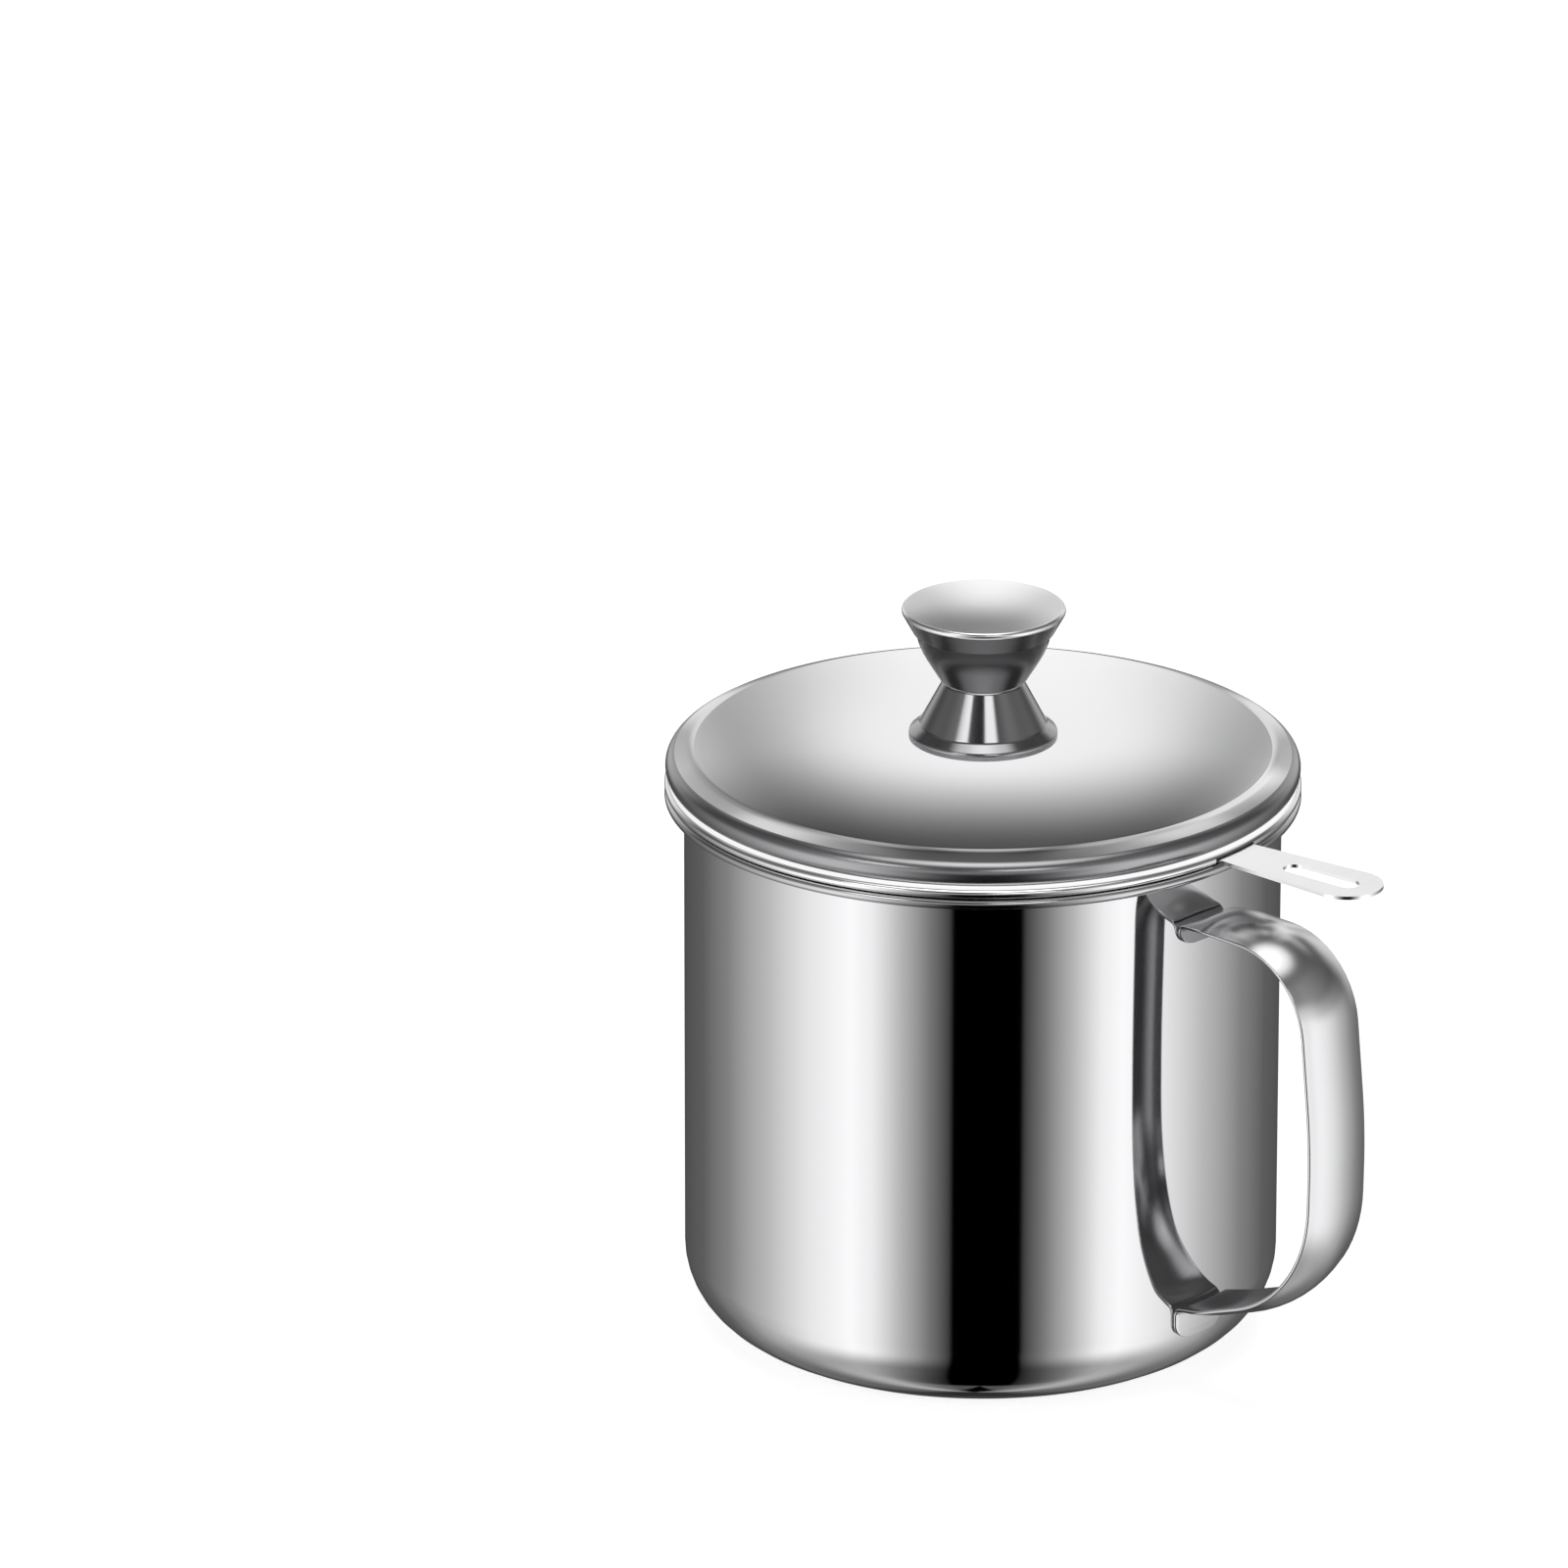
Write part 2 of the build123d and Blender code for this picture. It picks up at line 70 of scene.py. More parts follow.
def bent(corners, radii):
    """Points and left-hand normals along a line of corners, each rounded to its radius."""
    steps = [(corners[0], unit(corners[0], corners[1]))]
    bends = zip(corners, corners[1:], corners[2:], radii, strict=False)
    for before, corner, after, radius in bends:
        into, out = unit(before, corner), unit(corner, after)
        turn = atan2(into[0] * out[1] - into[1] * out[0], into[0] * out[0] + into[1] * out[1])
        side = 1 if turn > 0 else -1
        tangent = radius * tan(abs(turn) / 2)
        start = (corner[0] - into[0] * tangent, corner[1] - into[1] * tangent)
        centre = (start[0] - into[1] * side * radius, start[1] + into[0] * side * radius)
        arc = radius * abs(turn)
        count = max(2, round(degrees(abs(turn)) / bend_step), round(arc / arc_step))
        heading = atan2(into[1], into[0])
        for index in range(count + 1):
            angle = heading + turn * index / count
            place = (
                centre[0] + sin(angle) * side * radius,
                centre[1] - cos(angle) * side * radius,
            )
            steps.append((place, (cos(angle), sin(angle))))
    steps.append((corners[-1], unit(corners[-2], corners[-1])))
    kept = steps[:1]
    for step in steps[1:]:
        if hypot(step[0][0] - kept[-1][0][0], step[0][1] - kept[-1][0][1]) > same_place:
            kept.append(step)
    return [(place, (-ahead[1], ahead[0])) for place, ahead in kept]


# ---- Meshes ----
def at(radius, turn, height):
    return radius * MM * cos(turn), radius * MM * sin(turn), height * MM


def circle(form, radius, height):
    """New points of a circle about the axis."""
    return [form.verts.new(at(radius, 2 * pi * k / around, height)) for k in range(around)]


def linked(name, form):
    """Object of a finished bmesh, with its normals outwards."""
    bmesh.ops.recalc_face_normals(form, faces=form.faces)
    mesh = bpy.data.meshes.new(name)
    form.to_mesh(mesh)
    form.free()
    piece = bpy.data.objects.new(name, mesh)
    bpy.context.scene.collection.objects.link(piece)
    return piece


def smooth(piece, edge_angle=30):
    """Rounded shading that keeps flat faces flat and cut edges sharp."""
    for face in piece.data.polygons:
        face.use_smooth = True
    piece.data.set_sharp_from_angle(angle=radians(edge_angle))
    weighting = piece.modifiers.new("face_weighting", "WEIGHTED_NORMAL")
    weighting.keep_sharp = True
    weighting.weight = 100


def shown(piece, body, slot, nodes, *materials):
    """Gives a finished piece its materials and body, and hides the CAD nodes it stands for; slot
    is not used.
    """
    for material in materials:
        piece.data.materials.append(material)
    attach(piece, body)
    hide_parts(*nodes)
    return piece


def two_sided(height, drawn):
    """The first material on the drawn side of a sheet, and the second on the other."""
    return 0 if drawn else 1


def turned(name, corners, radii, thickness, pick=two_sided):
    """A bent sheet turned about the axis, its metal on the right of the line of corners.

    pick gives each face's material from its height and whether it is on the drawn line."""
    line = bent(corners, radii)
    far = [
        ((place[0] - normal[0] * thickness, place[1] - normal[1] * thickness), normal)
        for place, normal in line
    ]
    form = bmesh.new()
    rings = []
    for (radius, height), _ in line + far[::-1]:
        if radius < same_place:
            rings.append([form.verts.new((0, 0, height * MM))] * around)
        else:
            rings.append(circle(form, radius, height))
    for index, low in enumerate(rings):
        high = rings[(index + 1) % len(rings)]
        if low[0] is low[1] and high[0] is high[1]:
            continue
        material = pick((low[0].co.z + high[0].co.z) / 2 / MM, index < len(line) - 1)
        for step in range(around):
            nxt = (step + 1) % around
            corner_list = [low[step], low[nxt], high[nxt], high[step]]
            face = form.faces.new(dict.fromkeys(corner_list))
            face.material_index = material
    piece = linked(name, form)
    smooth(piece)
    return piece


# ---- Materials ----
class Look:
    """Small helper to write a node tree in reading order."""

    def __init__(self, tree):
        self.nodes = tree.nodes
        self.links = tree.links

    def add(self, kind, inputs=None, **settings):
        node = self.nodes.new(kind)
        for key, value in settings.items():
            setattr(node, key, value)
        for key, value in (inputs or {}).items():
            if isinstance(value, bpy.types.NodeSocket):
                self.links.new(value, node.inputs[key])
            else:
                node.inputs[key].default_value = value
        return node

    def math(self, operation, *values):
        inputs = dict(enumerate(values))
        return self.add("ShaderNodeMath", inputs, operation=operation).outputs[0]

    def ramp(self, value, stops, mode="EASE"):
        node = self.add("ShaderNodeValToRGB", {"Fac": value})
        node.color_ramp.interpolation = mode
        elements = node.color_ramp.elements
        while len(elements) < len(stops):
            elements.new(0.5)
        for element, (place, level) in zip(elements, stops, strict=True):
            element.position = place
            element.color = (level, level, level, 1)
        return node.outputs["Color"]


mark_cells = 3.0                # noise cells along a radian, so few that the marks are long
cloud_scale = 60.0
streak_range = [(0.35, 0), (0.65, 1)]   # from dark to clear over the noise's middle levels


def steel(name, colour, roughness, spread, pitch, along="rings", bump=0.0, streaks=0.0):
    """Stainless steel with fine working marks: rings about the axis, or lines at one height.

    spread is how far the roughness varies, pitch the marks' distance, bump their depth, and
    streaks how much they darken the colour."""
    material = bpy.data.materials.new(name)
    material.use_nodes = True
    look = Look(material.node_tree)
    shader = material.node_tree.nodes["Principled BSDF"]
    shader.inputs["Base Color"].default_value = (*colour, 1)
    shader.inputs["Metallic"].default_value = 1
    place = look.add("ShaderNodeTexCoord").outputs["Object"]
    x, y, across = look.add("ShaderNodeSeparateXYZ", {0: place}).outputs
    if along == "rings":
        squares = look.math("ADD", look.math("MULTIPLY", x, x), look.math("MULTIPLY", y, y))
        across = look.math("SQRT", squares)
    marks = look.add("ShaderNodeCombineXYZ", {
        0: look.math("MULTIPLY", across, 1 / (pitch * MM)),
        1: look.math("MULTIPLY", look.math("ARCTAN2", y, x), mark_cells),
    }).outputs[0]
    fine = look.add("ShaderNodeTexNoise", {
        "Vector": marks, "Scale": 1.0, "Detail": 3.0,
    }).outputs[0]
    cloud = look.add("ShaderNodeTexNoise", {
        "Vector": place, "Scale": cloud_scale, "Detail": 4.0,
    }).outputs[0]
    varied = look.math(
        "ADD", look.math("MULTIPLY", fine, spread), look.math("MULTIPLY", cloud, spread))
    look.links.new(look.math("ADD", varied, roughness - spread), shader.inputs["Roughness"])
    if bump:
        ridges = look.add("ShaderNodeBump", {
            "Height": fine, "Strength": 1.0, "Distance": bump * MM,
        })
        look.links.new(ridges.outputs[0], shader.inputs["Normal"])
    if streaks:
        dark = [value * (1 - streaks) for value in colour]
        shade = look.add("ShaderNodeMix", data_type="RGBA")
        look.links.new(look.ramp(fine, streak_range), shade.inputs["Factor"])
        shade.inputs["A"].default_value = (*dark, 1)
        shade.inputs["B"].default_value = (*colour, 1)
        look.links.new(shade.outputs["Result"], shader.inputs["Base Color"])
    return material


# Name, colour, roughness, its spread, and the pitch of the marks.
polished = steel("polished_steel", (0.80, 0.80, 0.81), 0.045, 0.02, 0.6)
# Darker copy of the polished steel: painted shade on the pot's rim.
rim_painted_shade_steel = steel("rim_painted_shade_steel", (0.62, 0.62, 0.63), 0.12, 0.04, 0.6)
brushed_inside = steel(
    "brushed_inside", (0.93, 0.93, 0.95), 0.42, 0.12, 0.9, "height", bump=0.01, streaks=0.35)
satin = steel("satin_steel", (0.98, 0.98, 0.99), 0.36, 0.04, 0.8)
flange_steel = steel("flange_steel", (0.97, 0.97, 0.97), 0.12, 0.04, 0.8)
satin_outside = steel("satin_outside", (0.90, 0.90, 0.91), 0.34, 0.04, 0.8)
tab_steel = steel("tab_steel", (0.99, 0.99, 0.99), 0.19, 0.04, 0.8)
screen_steel = steel("screen_steel", (0.96, 0.96, 0.97), 0.06, 0.03, 0.5)
lid_steel = steel("lid_steel", (0.80, 0.80, 0.81), 0.08, 0.02, 0.4)
# Darker copy of the lid's steel: painted shade on the band and rolled lip.
lip_painted_shade_steel = steel("lip_painted_shade_steel", (0.41, 0.41, 0.42), 0.25, 0.03, 0.5)
cap_steel = steel("cap_steel", (0.96, 0.96, 0.97), 0.24, 0.03, 0.4)
# Near-black copy of the steel for the cap's skirt: painted shade under the cap's edge.
cap_skirt_painted_shade = steel("cap_skirt_painted_shade", (0.10, 0.10, 0.102), 0.22, 0.03, 0.5)
# Darker copy of the polished steel for the knob: painted shade on its cones.
knob_painted_shade_steel = steel("knob_painted_shade_steel", (0.42, 0.42, 0.43), 0.12, 0.03, 0.5)
# Near-black copy of the steel for the knob's upper cone: painted shade.
cup_painted_shade_steel = steel("cup_painted_shade_steel", (0.12, 0.12, 0.123), 0.22, 0.03, 0.5)
strap_steel = steel("strap_steel", (0.77, 0.77, 0.78), 0.20, 0.02, 0.5)
# Darker steel for the strap's underside: painted shade.
strap_underside_painted_shade = steel("strap_underside_painted_shade", (0.34, 0.34, 0.35), 0.22, 0.04, 0.5)
fixing = steel("fixing_steel", (0.66, 0.66, 0.67), 0.30, 0.10, 0.6)

finish = {
    "pot_body": polished, "pot_handle": strap_steel, "strainer_bowl": satin,
    "strainer_screen": screen_steel, "strainer_handle": tab_steel, "lid_shell": lid_steel,
    "knob_base": knob_painted_shade_steel, "knob_body": knob_painted_shade_steel, "knob_cap": lid_steel,
    "knob_insert": fixing, "knob_washer": fixing, "knob_screw": fixing,
}
for name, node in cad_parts.items():
    node.data.materials.clear()
    node.data.materials.append(finish[name])

# ---- Pot: floor, rounded corner, wall, and a rim flared and curled outwards ----
pot_height = 127.5
pot_wall = 67.1                 # inside radius
pot_sheet = 0.5
pot_corner = 17.1
rim_flare = 3.7
rim_curl = 1.2
rim_turn = 200                  # degrees that the curl turns through

rim_crown = (pot_wall + rim_flare, pot_height)
rim_corners, rim_end = curl(rim_crown, 0, rim_curl, rim_turn)
pot = turned(
    "pot_shell",
    [(0, pot_sheet), (pot_wall, pot_sheet), (pot_wall, pot_height), *rim_corners, rim_end],
    [pot_corner, rim_flare] + [rim_curl] * len(rim_corners),
    pot_sheet,
    # Above the flare the rim takes the darker steel, which is painted shade.
    lambda height, drawn: 2 if height > pot_height - rim_flare else two_sided(height, drawn),
)
shown(pot, "pot", "polished_steel", ["pot_body"], brushed_inside, polished, rim_painted_shade_steel)

# ---- Strap handle: one crowned strip whose ends flatten and turn down along the wall ----
strap_sheet = 0.9
strap_half = 9.25
strap_crown = 2.2
foot_half = 8.25
foot_corner = 4.0
foot_middle = 68.1              # middle of the sheet where it lies on the wall
foot_top = 109.25
foot_bend = 1.95
arm_level = 114.3
arm_corner = (103.5, arm_level)
arm_bend = 19
grip_corner = (107.9, 72.3)
grip_bend = 150
low_corner = (107.1, 35.4)
low_bend = 32
low_foot = (foot_middle, 21.18)
tip_corner = (foot_middle, 15.79)
tip_bend = 18.1                 # follows the pot's rounded corner
tip_end = (67.74, 14.02)
tip_level = 18                  # the lower foot's rounded end is below this
flat_end = 68.0                 # the strip is flat up to here, and fully crowned further out
crowned_from = 76.0
station_step = 2.0
foot_step = 0.4
across_steps = 20
edge_steps = 8
strap_edge_angle = 40


def between(a, b, share):
    return [a[i] + (b[i] - a[i]) * share for i in (0, 1)]


def distances(stations):
    """Distance along the strap from its first station to each one."""
    travelled = [0.0]
    for (place, _), (ahead, _) in zip(stations, stations[1:], strict=False):
        travelled.append(travelled[-1] + hypot(ahead[0] - place[0], ahead[1] - place[1]))
    return travelled


def strap_line():
    """Stations along the middle of the sheet, from the upper foot to the lower one."""
    line = bent(
        [
            (foot_middle, foot_top), (foot_middle, arm_level), arm_corner, grip_corner,
            low_corner, low_foot, tip_corner, tip_end,
        ],
        [foot_bend, arm_bend, grip_bend, low_bend, foot_bend, tip_bend],
    )
    stations = line[:1]
    for (place, normal), (ahead, next_normal) in zip(line, line[1:], strict=False):
        gap = hypot(ahead[0] - place[0], ahead[1] - place[1])
        on_wall = place[0] == ahead[0] == foot_middle
        near_tip = min(place[1], ahead[1]) < tip_level
        count = max(1, round(gap / (foot_step if on_wall or near_tip else station_step)))
        for index in range(1, count + 1):
            tilt = between(normal, next_normal, index / count)
            size = hypot(*tilt)
            spot = between(place, ahead, index / count)
            stations.append((spot, (tilt[0] / size, tilt[1] / size)))
    return stations


def strap_loop(grown, half):
    """Closed section as (across, up, material): back, rounded edge, underside, rounded edge.

    grown is how far the section is crowned, from 0 for flat to 1."""
    edge = strap_sheet / 2
    rise = edge * grown
    top = [(half - edge) * (2 * k / across_steps - 1) for k in range(across_steps + 1)]
    bulge = [strap_crown * grown * (1 - (y / half) ** 2) for y in top]
    loop = [(y, edge + rise + b, 0) for y, b in zip(top, bulge, strict=True)]
    for k in range(1, edge_steps):
        angle = pi / 2 - pi * k / edge_steps
        loop.append((top[-1] + edge * cos(angle), rise + bulge[-1] + edge * sin(angle), 0))
    # The underside takes the second material, darker steel that is painted shade.
    loop += [(y, rise - edge + b, 1) for y, b in zip(top[::-1], bulge[::-1], strict=True)]
    for k in range(1, edge_steps):
        angle = -pi / 2 - pi * k / edge_steps
        loop.append((top[0] + edge * cos(angle), rise + bulge[0] + edge * sin(angle), 0))
    return loop


stations = strap_line()
travelled = distances(stations)
form = bmesh.new()
loops = []
for (place, normal), along in zip(stations, travelled, strict=True):
    share = min(max((place[0] - flat_end) / (crowned_from - flat_end), 0), 1)
    grown = share * share * (3 - 2 * share)
    half = foot_half + (strap_half - foot_half) * grown
    inset = max(0, foot_corner - min(along, travelled[-1] - along))
    half -= foot_corner - (foot_corner**2 - inset**2) ** 0.5
    loop = []
    for y, up, _ in strap_loop(grown, half):
        x, z = place[0] + normal[0] * up, place[1] + normal[1] * up
        x -= (1 - grown) * (x - (x * x - y * y) ** 0.5)     # the feet follow the round wall
        loop.append(form.verts.new((x * MM, y * MM, z * MM)))
    loops.append(loop)
sides = [side for _, _, side in strap_loop(1, strap_half)]
for low, high in zip(loops, loops[1:], strict=False):
    for k in range(len(low)):
        nxt = (k + 1) % len(low)
        face = form.faces.new([low[k], low[nxt], high[nxt], high[k]])
        face.material_index = min(sides[k], sides[nxt])
form.faces.new(loops[0])
form.faces.new(loops[-1])
strap = linked("strap_handle", form)
smooth(strap, strap_edge_angle)
shown(strap, "pot", "polished_steel", ["pot_handle"], strap_steel, strap_underside_painted_shade)

# ---- Strainer bowl: bead, floor, conical corner, wall, flange and rolled edge ----
flange_level = 129.792
bowl_floor = 107.242
bowl_sheet = 0.45
bowl_mouth = 65.65              # radius where the wall meets the flange
wall_foot = (63.93, flange_level - 14.4)
floor_edge = 54.23
floor_bend = 6
mouth_bend = 2.4
bead_radius = 47.03
bead_roll = 1.3
bead_crown = bowl_floor + 2.15
bead_gap = 0.05
bead_foot = 0.8
bowl_roll = 1.0
bowl_roll_turn = 250            # degrees that the edge turns through
roll_start = (71.0, flange_level)
bright_depth = 3                # the flange's steel reaches this far down
tab_azimuth = 5.0
notch_half = 13.8 / 2
notch_inner = 69.4
notch_outer = 72.6

roll_corners, roll_end = curl(roll_start, 0, bowl_roll, bowl_roll_turn)
bowl = turned(
    "strainer_shell",
    [
        (bead_radius - bead_roll, bowl_floor + bead_gap),
        (bead_radius - bead_roll, bead_crown),
        (bead_radius + bead_roll, bead_crown),
        (bead_radius + bead_roll, bowl_floor),
        (floor_edge, bowl_floor),
        wall_foot,
        (bowl_mouth, flange_level),
        *roll_corners,
        roll_end,
    ],
    [bead_roll, bead_roll, bead_foot, floor_bend, floor_bend, mouth_bend]
    + [bowl_roll] * len(roll_corners),
    bowl_sheet,
    lambda height, drawn: 1 if not drawn else 2 if height > flange_level - bright_depth else 0,
)


def cut(piece, low, high, azimuth):
    """Takes a box out of a turned piece: x from the axis, y across, at an azimuth."""
    form = bmesh.new()
    bmesh.ops.create_cube(form, size=1)
    swing = radians(azimuth)
    for vertex in form.verts:
        corner = [low[i] + (high[i] - low[i]) * (vertex.co[i] + 0.5) for i in range(3)]
        spot = Vector(corner) * MM
        vertex.co = (
            spot.x * cos(swing) - spot.y * sin(swing),
            spot.x * sin(swing) + spot.y * cos(swing),
            spot.z,
        )
    cutter = linked("cutter", form)
    notch = piece.modifiers.new("notch", "BOOLEAN")
    notch.operation = "DIFFERENCE"
    notch.solver = "EXACT"
    notch.object = cutter
    posed = piece.evaluated_get(bpy.context.evaluated_depsgraph_get())
    result = bpy.data.meshes.new_from_object(posed)
    piece.modifiers.clear()
    piece.data = result
    bpy.data.objects.remove(cutter)
    smooth(piece)


cut(
    bowl,
    (notch_inner, -notch_half, flange_level - bowl_sheet - 2 * bowl_roll),
    (notch_outer, notch_half, flange_level - bowl_sheet),
    tab_azimuth,
)
shown(bowl, "strainer", "satin_steel", ["strainer_bowl"], satin, satin_outside, flange_steel)

# ---- Screen: fine piercing in rings round a bare centre, and a lip clinched in the bead ----
screen_sheet = 0.3
bare_centre = 6.5
pierced_edge = 39.3
ring_pitch = 2.05
ring_margin = 0.02              # between rings, where their different counts meet
hole_pitch = 1.85
hole_half = 0.37
# A hole is a square with blunt corners, here in halves of its width: across and outwards.
hole_shape = (
    (-0.8, -0.8), (0, -1), (0.8, -0.8), (1, 0), (0.8, 0.8), (0, 1), (-0.8, 0.8), (-1, 0),
)
border_inner = 40.3
border_outer = 42.3
border_cells = 130
locating_azimuth = 38.0
locating_half = 0.55
lip_outer = 46.73
lip_level = bowl_floor + 1.1


def pierced_ring(form, inner, outer, count, first, height, half, pierced):
    """One ring of square cells, pierced where asked. Gives its two edges and its holes."""
    step = 2 * pi / count
    middle = (inner + outer) / 2
    rims = [
        [form.verts.new(at(r, first + step * k / 2, height)) for k in range(2 * count)]
        for r in (inner, outer)
    ]
    spokes = [form.verts.new(at(middle, first + step * k, height)) for k in range(count)]
    holes = []
    for k in range(count):
        nxt = (k + 1) % count
        cell = [
            rims[0][2 * k], rims[0][2 * k + 1], rims[0][2 * nxt], spokes[nxt],
            rims[1][2 * nxt], rims[1][2 * k + 1], rims[1][2 * k], spokes[k],
        ]
        if not pierced(k):
            form.faces.new(cell)
            continue
        centre = first + step * (k + 0.5)
        hole = []
        for across, outward in hole_shape:
            radius = middle + outward * half
            hole.append(form.verts.new(at(radius, centre + across * half / radius, height)))
        for i in range(len(cell)):
            j = (i + 1) % len(cell)
            form.faces.new([cell[i], cell[j], hole[j], hole[i]])
        holes.append(hole)
    return rims[0], rims[1], holes


def zip_rings(form, inner, outer):
    """Flat band of triangles between two closed rings of different counts."""
    def turn_of(vertex):
        return atan2(vertex.co.y, vertex.co.x) % (2 * pi)

    def next_turn(ring, index):
        """Turn of the vertex after this one, or no end of turns once the ring is used up."""
        if index + 1 < len(ring):
            return turn_of(ring[index + 1])
        return 2 * pi if index + 1 == len(ring) else inf

    a = sorted(inner, key=turn_of)
    b = sorted(outer, key=turn_of)
    i = j = 0
    while i < len(a) or j < len(b):
        if i < len(a) and next_turn(a, i) <= next_turn(b, j):
            form.faces.new([a[i], b[j % len(b)], a[(i + 1) % len(a)]])
            i += 1
        else:
            form.faces.new([a[i % len(a)], b[j], b[(j + 1) % len(b)]])
            j += 1


def screen_layer(form, height, edge):
    """One face of the screen out to its edge ring. Gives the holes and the edge."""
    rings = round((pierced_edge - bare_centre) / ring_pitch)
    pitch = (pierced_edge - bare_centre) / rings
    holes = []
    last = None
    for ring in range(rings):
        inner = bare_centre + pitch * ring
        count = round(2 * pi * (inner + pitch / 2) / hole_pitch)
        low, high, pierced = pierced_ring(
            form, inner + ring_margin, inner + pitch - ring_margin, count, 0, height,
            hole_half, lambda k: True)
        if last is None:
            hub = form.verts.new(at(0, 0, height))
            for k in range(len(low)):
                form.faces.new([hub, low[k], low[(k + 1) % len(low)]])
        else:
            zip_rings(form, last, low)
        last = high
        holes += pierced
    first = radians(locating_azimuth) - pi / border_cells
    low, high, pierced = pierced_ring(
        form, border_inner, border_outer, border_cells, first, height,
        locating_half, lambda k: k == 0)
    zip_rings(form, last, low)
    rim = circle(form, edge, height)
    zip_rings(form, high, rim)
    return holes + pierced, rim


form = bmesh.new()
lip_inner = lip_outer - screen_sheet
upper_holes, upper_rim = screen_layer(form, bowl_floor, lip_inner)
lower_holes, lower_rim = screen_layer(form, bowl_floor - screen_sheet, lip_outer)
lip_rings = [
    upper_rim, circle(form, lip_inner, lip_level), circle(form, lip_outer, lip_level), lower_rim,
]
joined = list(zip(upper_holes, lower_holes, strict=True))
joined += zip(lip_rings, lip_rings[1:], strict=False)
for near, away in joined:
    for k in range(len(near)):
        nxt = (k + 1) % len(near)
        form.faces.new([near[k], near[nxt], away[nxt], away[k]])
screen = linked("screen_sheet", form)
shown(screen, "strainer", "screen_steel", ["strainer_screen"], screen_steel)

# ---- Lid: seat, dome, crease, band, rolled lip, neck and skirt ----
lid_level = 133.092             # widest level of the lip
lid_sheet = 0.45
knob_level = 139.792
screw_hole = 2.25
dome_start = 17.5
dome_share = 0.98               # leaves the crease's bend a little room
crease = (65.8, 137.3)
crease_bend = 14
lip_radius = 3.0
lip_centre = 68.8
band_slope = 19.0
neck = 63.45
neck_drop = 1.4                 # below the lip
neck_bend = 0.7
skirt = 64.55
skirt_drop = 2.8
skirt_bend = 0.8
skirt_end = lid_level - 10

dome_slope = 2 * atan((knob_level - crease[1]) / (crease[0] - dome_start))
dome_radius = (crease[0] - dome_start) / sin(dome_slope)
dome_corner = (dome_start + dome_radius * tan(dome_slope / 2), knob_level)
lip_start = (
    lip_centre + lip_radius * sin(radians(band_slope)),
    lid_level + lip_radius * cos(radians(band_slope)),
)
lip_corners, lip_end = curl(lip_start, -band_slope, lip_radius, 180 - band_slope)
under = lid_level - lip_radius
lid = turned(
    "lid_sheet",
    [
        (screw_hole, knob_level),
        dome_corner,
        crease,
        *lip_corners,
        (neck, under),
        (neck, under - neck_drop),
        (skirt, under - skirt_drop),
        (skirt, skirt_end),
    ],
    [dome_share * dome_radius, crease_bend]
    + [lip_radius] * len(lip_corners)
    + [neck_bend, skirt_bend, skirt_bend],
    lid_sheet,
    # Below the lip's start the outer face takes the darker steel, painted shade on the band and
    # lip.
    lambda height, drawn: 2 if not drawn else 0 if height > lip_start[1] else 1,
)
shown(lid, "lid", "lid_steel", ["lid_shell"], lid_steel, lip_painted_shade_steel, satin)

# ---- Knob: two cones and a cap with a rolled edge ----
knob_sheet = 0.5
waist_level = knob_level + 13.4
bore = 3.05
base_corners = [
    (bore, waist_level), (9.1, waist_level), (14.5, knob_level + 3.3),
    (16.8, knob_level + 1.5), (16.8, knob_level),
]
base_bends = [0.9, 2.0, 1.0]
cup_shoulder = 15.5
cup_corners = [
    (17.761, 169.560), (cup_shoulder, 165.482), (14.6, waist_level + 8.3),
    (9.5, waist_level), (bore, waist_level),
]
cup_bends = [0.6, 20, 1.8]
cap_level = waist_level + 16.8
cap_height = 2.2
cap_lip = 0.9
cap_lip_centre = 17.6
cap_share = 0.99                # leaves the lip's bend a little room
cap_lean = 29                   # of the skirt, from upright
cap_gap = 0.05                  # between the skirt and the cup

base = turned("knob_base_sheet", base_corners, base_bends, knob_sheet)
# Both faces take the darker knob steel, painted shade on the lower cone.
shown(base, "lid", "polished_steel", ["knob_base"], knob_painted_shade_steel, knob_painted_shade_steel)

lean = radians(cap_lean)
cap_slope = 2 * atan((cap_height - cap_lip) / cap_lip_centre)
cap_edge = (cap_lip_centre + cap_lip * sin(cap_slope), cap_level + cap_lip * cos(cap_slope))
cap_radius = cap_edge[0] / sin(cap_slope)
cap_turn = 90 + cap_lean - degrees(cap_slope)
cap_corners, cap_under = curl(cap_edge, -degrees(cap_slope), cap_lip, cap_turn)
skirt_length = (cap_under[0] - (knob_sheet + cap_gap) * cos(lean) - cup_shoulder) / sin(lean)
cap = turned(
    "knob_cap_sheet",
    [
        (0, cap_level + cap_height),
        (cap_radius * tan(cap_slope / 2), cap_level + cap_height),
        *cap_corners,
        (cap_under[0] - skirt_length * sin(lean), cap_under[1] - skirt_length * cos(lean)),
    ],
    [cap_share * cap_radius] + [cap_lip] * len(cap_corners),
    knob_sheet,
    # Below the lip's middle the outer face takes the near-black steel, painted shade under the
    # cap's edge.
    lambda height, drawn: 1 if not drawn else 2 if height < cap_level - cap_lip / 2 else 0,
)
shown(cap, "lid", "lid_steel", ["knob_cap"], cap_steel, satin, cap_skirt_painted_shade)

cup = turned("knob_body_sheet", cup_corners, cup_bends, knob_sheet)
# Both faces take the near-black steel, painted shade on the upper cone.
shown(cup, "lid", "polished_steel", ["knob_body"], cup_painted_shade_steel, cup_painted_shade_steel)

# ---- Camera ----
view_azimuth = 44
view_elevation = 20.7
view_distance = 3.2
aim_height = 128.1 * MM
aim_left = 44.95 * MM

